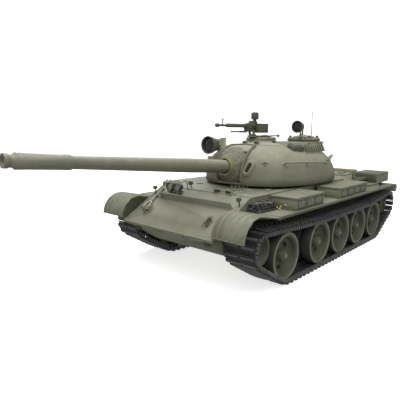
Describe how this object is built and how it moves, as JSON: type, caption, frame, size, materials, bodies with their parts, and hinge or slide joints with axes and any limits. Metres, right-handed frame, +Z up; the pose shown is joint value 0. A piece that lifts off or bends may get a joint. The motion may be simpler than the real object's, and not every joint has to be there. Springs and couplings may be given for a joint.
{
  "type": "radio-controlled tank",
  "caption": "Radio-controlled scale battle tank: turning domed turret, elevating recoiling long gun, sprung road wheels on two link tracks, opening hatches, searchlights and roof machine gun.",
  "frame": {"origin": "centre of the bounding box in plan, on the ground under the tracks", "axes": "+Y toward the hull rear (the gun points along -Y), +X to the vehicle's left, +Z up"},
  "size_m": [0.2044, 0.5544, 0.1797],
  "materials": {
    "green": "moulded plastic with a flat olive grey finish",
    "dark_green": "moulded plastic, darker olive",
    "track": "dark blue-grey moulded links",
    "canvas": "olive canvas cover",
    "brass": "satin",
    "gunmetal": "dark satin paint",
    "barrel": "olive satin paint on a metal tube",
    "wood": "painted beam",
    "battery": "heat-shrink sleeve",
    "board": "circuit board",
    "steel": "satin"
  },
  "bodies": {
    "hull": {"hull_tub": "green", "hull_deck": "green", "engine_deck": "green", "fender_left": "green", "fender_right": "green", "headlight_unit": "green", "stowage_box_front": "green", "stowage_box_middle": "green", "fuel_tank_front": "green", "fuel_tank_rear": "green", "rear_box_left": "green", "rear_box_right": "green", "unditching_beam": "wood", "tow_cable": "steel", "track_left": "track", "track_right": "track", "battery_door": "dark_green", "battery_pack": "battery", "control_board": "board", "drive_gearbox": "steel"},
    "driver_hatch": {"driver_hatch": "green"},
    "turret": {"turret_shell": "green", "mantlet_cover": "canvas", "antenna": "steel"},
    "gun": {"gun_mount": "green", "canvas_clamp": "brass"},
    "barrel": {"gun_barrel": "barrel"},
    "searchlight": {"gun_searchlight": "gunmetal"},
    "cupola": {"commander_cupola": "green"},
    "commander_hatch": {"commander_hatch": "green"},
    "small_lamp": {"cupola_searchlight": "gunmetal"},
    "loader_ring": {"loader_ring": "green", "mg_mount": "gunmetal", "loader_hatch": "green"},
    "machine_gun": {"machine_gun": "gunmetal"},
    "power_switch": {"power_switch": "dark_green"},
    "sprocket_left": {"sprocket_left": "dark_green"},
    "idler_left": {"idler_left": "green"},
    "swing_arm_left_1": {"swing_arm_left_1": "dark_green"},
    "road_wheel_left_1": {"road_wheel_left_1": "green"},
    "swing_arm_left_2": {"swing_arm_left_2": "dark_green"},
    "road_wheel_left_2": {"road_wheel_left_2": "green"},
    "swing_arm_left_3": {"swing_arm_left_3": "dark_green"},
    "road_wheel_left_3": {"road_wheel_left_3": "green"},
    "swing_arm_left_4": {"swing_arm_left_4": "dark_green"},
    "road_wheel_left_4": {"road_wheel_left_4": "green"},
    "swing_arm_left_5": {"swing_arm_left_5": "dark_green"},
    "road_wheel_left_5": {"road_wheel_left_5": "green"},
    "sprocket_right": {"sprocket_right": "dark_green"},
    "idler_right": {"idler_right": "green"},
    "swing_arm_right_1": {"swing_arm_right_1": "dark_green"},
    "road_wheel_right_1": {"road_wheel_right_1": "green"},
    "swing_arm_right_2": {"swing_arm_right_2": "dark_green"},
    "road_wheel_right_2": {"road_wheel_right_2": "green"},
    "swing_arm_right_3": {"swing_arm_right_3": "dark_green"},
    "road_wheel_right_3": {"road_wheel_right_3": "green"},
    "swing_arm_right_4": {"swing_arm_right_4": "dark_green"},
    "road_wheel_right_4": {"road_wheel_right_4": "green"},
    "swing_arm_right_5": {"swing_arm_right_5": "dark_green"},
    "road_wheel_right_5": {"road_wheel_right_5": "green"}
  },
  "joints": [
    {"name": "driver_hatch_hinge", "type": "hinge", "parent": "hull", "child": "driver_hatch", "pos_m": [0.03, -0.03343, 0.0875], "axis": [-1, 0, 0], "range_deg": [0, 85]},
    {"name": "turret_traverse", "type": "hinge", "parent": "hull", "child": "turret", "pos_m": [0, 0.0825, 0.08906], "axis": [0, 0, 1], "range_deg": [-160, 160]},
    {"name": "gun_elevation", "type": "hinge", "parent": "turret", "child": "gun", "pos_m": [0, 0.0075, 0.10938], "axis": [-1, 0, 0], "range_deg": [-8, 13], "deforming": ["mantlet_cover"]},
    {"name": "barrel_recoil", "type": "slide", "parent": "gun", "child": "barrel", "axis": [0, 0.997, -0.0774], "range_m": [0, 0.0115], "stiffness_N_per_m": 60, "springref_m": -0.01},
    {"name": "searchlight_elevation", "type": "hinge", "parent": "turret", "child": "searchlight", "pos_m": [-0.0325, -0.0025, 0.13437], "axis": [-1, 0, 0], "range_deg": [-8, 13]},
    {"name": "cupola_turn", "type": "hinge", "parent": "turret", "child": "cupola", "pos_m": [0.02813, 0.10375, 0.14375], "axis": [0, 0, 1], "continuous": true},
    {"name": "commander_hatch_hinge", "type": "hinge", "parent": "cupola", "child": "commander_hatch", "pos_m": [0.02813, 0.11863, 0.14563], "axis": [-1, 0, 0], "range_deg": [0, 90]},
    {"name": "small_lamp_tilt", "type": "hinge", "parent": "cupola", "child": "small_lamp", "pos_m": [0.03356, 0.08713, 0.157], "axis": [-1, 0, 0], "range_deg": [-15, 35]},
    {"name": "loader_ring_turn", "type": "hinge", "parent": "turret", "child": "loader_ring", "pos_m": [-0.03, 0.08875, 0.14375], "axis": [0, 0, 1], "range_deg": [-170, 65]},
    {"name": "machine_gun_elevation", "type": "hinge", "parent": "loader_ring", "child": "machine_gun", "pos_m": [-0.03125, 0.0675, 0.1525], "axis": [-1, 0, 0], "range_deg": [-8, 6]},
    {"name": "power_switch_slide", "type": "slide", "parent": "hull", "child": "power_switch", "axis": [0, 1, 0], "range_m": [0, 0.005]},
    {"name": "sprocket_spin_left", "type": "hinge", "parent": "hull", "child": "sprocket_left", "pos_m": [0.0825, 0.2455, 0.045], "axis": [1, 0, 0], "continuous": true},
    {"name": "idler_spin_left", "type": "hinge", "parent": "hull", "child": "idler_left", "pos_m": [0.0825, -0.09012, 0.04375], "axis": [1, 0, 0], "continuous": true},
    {"name": "suspension_left_1", "type": "hinge", "parent": "hull", "child": "swing_arm_left_1", "pos_m": [0.062, -0.06075, 0.035], "axis": [1, 0, 0], "range_deg": [0, 8], "stiffness_Nm_per_rad": 0.05, "springref_deg": -17.19, "deforming": ["track_left"]},
    {"name": "road_wheel_spin_left_1", "type": "hinge", "parent": "swing_arm_left_1", "child": "road_wheel_left_1", "pos_m": [0.0825, -0.04637, 0.02875], "axis": [1, 0, 0], "continuous": true},
    {"name": "suspension_left_2", "type": "hinge", "parent": "hull", "child": "swing_arm_left_2", "pos_m": [0.062, 0.01282, 0.035], "axis": [1, 0, 0], "range_deg": [0, 8], "stiffness_Nm_per_rad": 0.05, "springref_deg": -17.19, "deforming": ["track_left"]},
    {"name": "road_wheel_spin_left_2", "type": "hinge", "parent": "swing_arm_left_2", "child": "road_wheel_left_2", "pos_m": [0.0825, 0.02719, 0.02875], "axis": [1, 0, 0], "continuous": true},
    {"name": "suspension_left_3", "type": "hinge", "parent": "hull", "child": "swing_arm_left_3", "pos_m": [0.062, 0.06825, 0.035], "axis": [1, 0, 0], "range_deg": [0, 8], "stiffness_Nm_per_rad": 0.05, "springref_deg": -17.19, "deforming": ["track_left"]},
    {"name": "road_wheel_spin_left_3", "type": "hinge", "parent": "swing_arm_left_3", "child": "road_wheel_left_3", "pos_m": [0.0825, 0.08263, 0.02875], "axis": [1, 0, 0], "continuous": true},
    {"name": "suspension_left_4", "type": "hinge", "parent": "hull", "child": "swing_arm_left_4", "pos_m": [0.062, 0.12375, 0.035], "axis": [1, 0, 0], "range_deg": [0, 8], "stiffness_Nm_per_rad": 0.05, "springref_deg": -17.19, "deforming": ["track_left"]},
    {"name": "road_wheel_spin_left_4", "type": "hinge", "parent": "swing_arm_left_4", "child": "road_wheel_left_4", "pos_m": [0.0825, 0.13813, 0.02875], "axis": [1, 0, 0], "continuous": true},
    {"name": "suspension_left_5", "type": "hinge", "parent": "hull", "child": "swing_arm_left_5", "pos_m": [0.062, 0.17925, 0.035], "axis": [1, 0, 0], "range_deg": [0, 8], "stiffness_Nm_per_rad": 0.05, "springref_deg": -17.19, "deforming": ["track_left"]},
    {"name": "road_wheel_spin_left_5", "type": "hinge", "parent": "swing_arm_left_5", "child": "road_wheel_left_5", "pos_m": [0.0825, 0.19363, 0.02875], "axis": [1, 0, 0], "continuous": true},
    {"name": "sprocket_spin_right", "type": "hinge", "parent": "hull", "child": "sprocket_right", "pos_m": [-0.0825, 0.2455, 0.045], "axis": [1, 0, 0], "continuous": true},
    {"name": "idler_spin_right", "type": "hinge", "parent": "hull", "child": "idler_right", "pos_m": [-0.0825, -0.09012, 0.04375], "axis": [1, 0, 0], "continuous": true},
    {"name": "suspension_right_1", "type": "hinge", "parent": "hull", "child": "swing_arm_right_1", "pos_m": [-0.062, -0.06075, 0.035], "axis": [1, 0, 0], "range_deg": [0, 8], "stiffness_Nm_per_rad": 0.05, "springref_deg": -17.19, "deforming": ["track_right"]},
    {"name": "road_wheel_spin_right_1", "type": "hinge", "parent": "swing_arm_right_1", "child": "road_wheel_right_1", "pos_m": [-0.0825, -0.04637, 0.02875], "axis": [1, 0, 0], "continuous": true},
    {"name": "suspension_right_2", "type": "hinge", "parent": "hull", "child": "swing_arm_right_2", "pos_m": [-0.062, 0.01282, 0.035], "axis": [1, 0, 0], "range_deg": [0, 8], "stiffness_Nm_per_rad": 0.05, "springref_deg": -17.19, "deforming": ["track_right"]},
    {"name": "road_wheel_spin_right_2", "type": "hinge", "parent": "swing_arm_right_2", "child": "road_wheel_right_2", "pos_m": [-0.0825, 0.02719, 0.02875], "axis": [1, 0, 0], "continuous": true},
    {"name": "suspension_right_3", "type": "hinge", "parent": "hull", "child": "swing_arm_right_3", "pos_m": [-0.062, 0.06825, 0.035], "axis": [1, 0, 0], "range_deg": [0, 8], "stiffness_Nm_per_rad": 0.05, "springref_deg": -17.19, "deforming": ["track_right"]},
    {"name": "road_wheel_spin_right_3", "type": "hinge", "parent": "swing_arm_right_3", "child": "road_wheel_right_3", "pos_m": [-0.0825, 0.08263, 0.02875], "axis": [1, 0, 0], "continuous": true},
    {"name": "suspension_right_4", "type": "hinge", "parent": "hull", "child": "swing_arm_right_4", "pos_m": [-0.062, 0.12375, 0.035], "axis": [1, 0, 0], "range_deg": [0, 8], "stiffness_Nm_per_rad": 0.05, "springref_deg": -17.19, "deforming": ["track_right"]},
    {"name": "road_wheel_spin_right_4", "type": "hinge", "parent": "swing_arm_right_4", "child": "road_wheel_right_4", "pos_m": [-0.0825, 0.13813, 0.02875], "axis": [1, 0, 0], "continuous": true},
    {"name": "suspension_right_5", "type": "hinge", "parent": "hull", "child": "swing_arm_right_5", "pos_m": [-0.062, 0.17925, 0.035], "axis": [1, 0, 0], "range_deg": [0, 8], "stiffness_Nm_per_rad": 0.05, "springref_deg": -17.19, "deforming": ["track_right"]},
    {"name": "road_wheel_spin_right_5", "type": "hinge", "parent": "swing_arm_right_5", "child": "road_wheel_right_5", "pos_m": [-0.0825, 0.19363, 0.02875], "axis": [1, 0, 0], "continuous": true}
  ],
  "couplings": [
    {"joint": "searchlight_elevation", "follows": "gun_elevation", "ratio": 1},
    {"joint": "idler_spin_left", "follows": "sprocket_spin_left", "ratio": 1.0343},
    {"joint": "road_wheel_spin_left_1", "follows": "sprocket_spin_left", "ratio": 0.6707},
    {"joint": "road_wheel_spin_left_2", "follows": "sprocket_spin_left", "ratio": 0.6707},
    {"joint": "road_wheel_spin_left_3", "follows": "sprocket_spin_left", "ratio": 0.6707},
    {"joint": "road_wheel_spin_left_4", "follows": "sprocket_spin_left", "ratio": 0.6707},
    {"joint": "road_wheel_spin_left_5", "follows": "sprocket_spin_left", "ratio": 0.6707},
    {"joint": "idler_spin_right", "follows": "sprocket_spin_right", "ratio": 1.0343},
    {"joint": "road_wheel_spin_right_1", "follows": "sprocket_spin_right", "ratio": 0.6707},
    {"joint": "road_wheel_spin_right_2", "follows": "sprocket_spin_right", "ratio": 0.6707},
    {"joint": "road_wheel_spin_right_3", "follows": "sprocket_spin_right", "ratio": 0.6707},
    {"joint": "road_wheel_spin_right_4", "follows": "sprocket_spin_right", "ratio": 0.6707},
    {"joint": "road_wheel_spin_right_5", "follows": "sprocket_spin_right", "ratio": 0.6707}
  ]
}
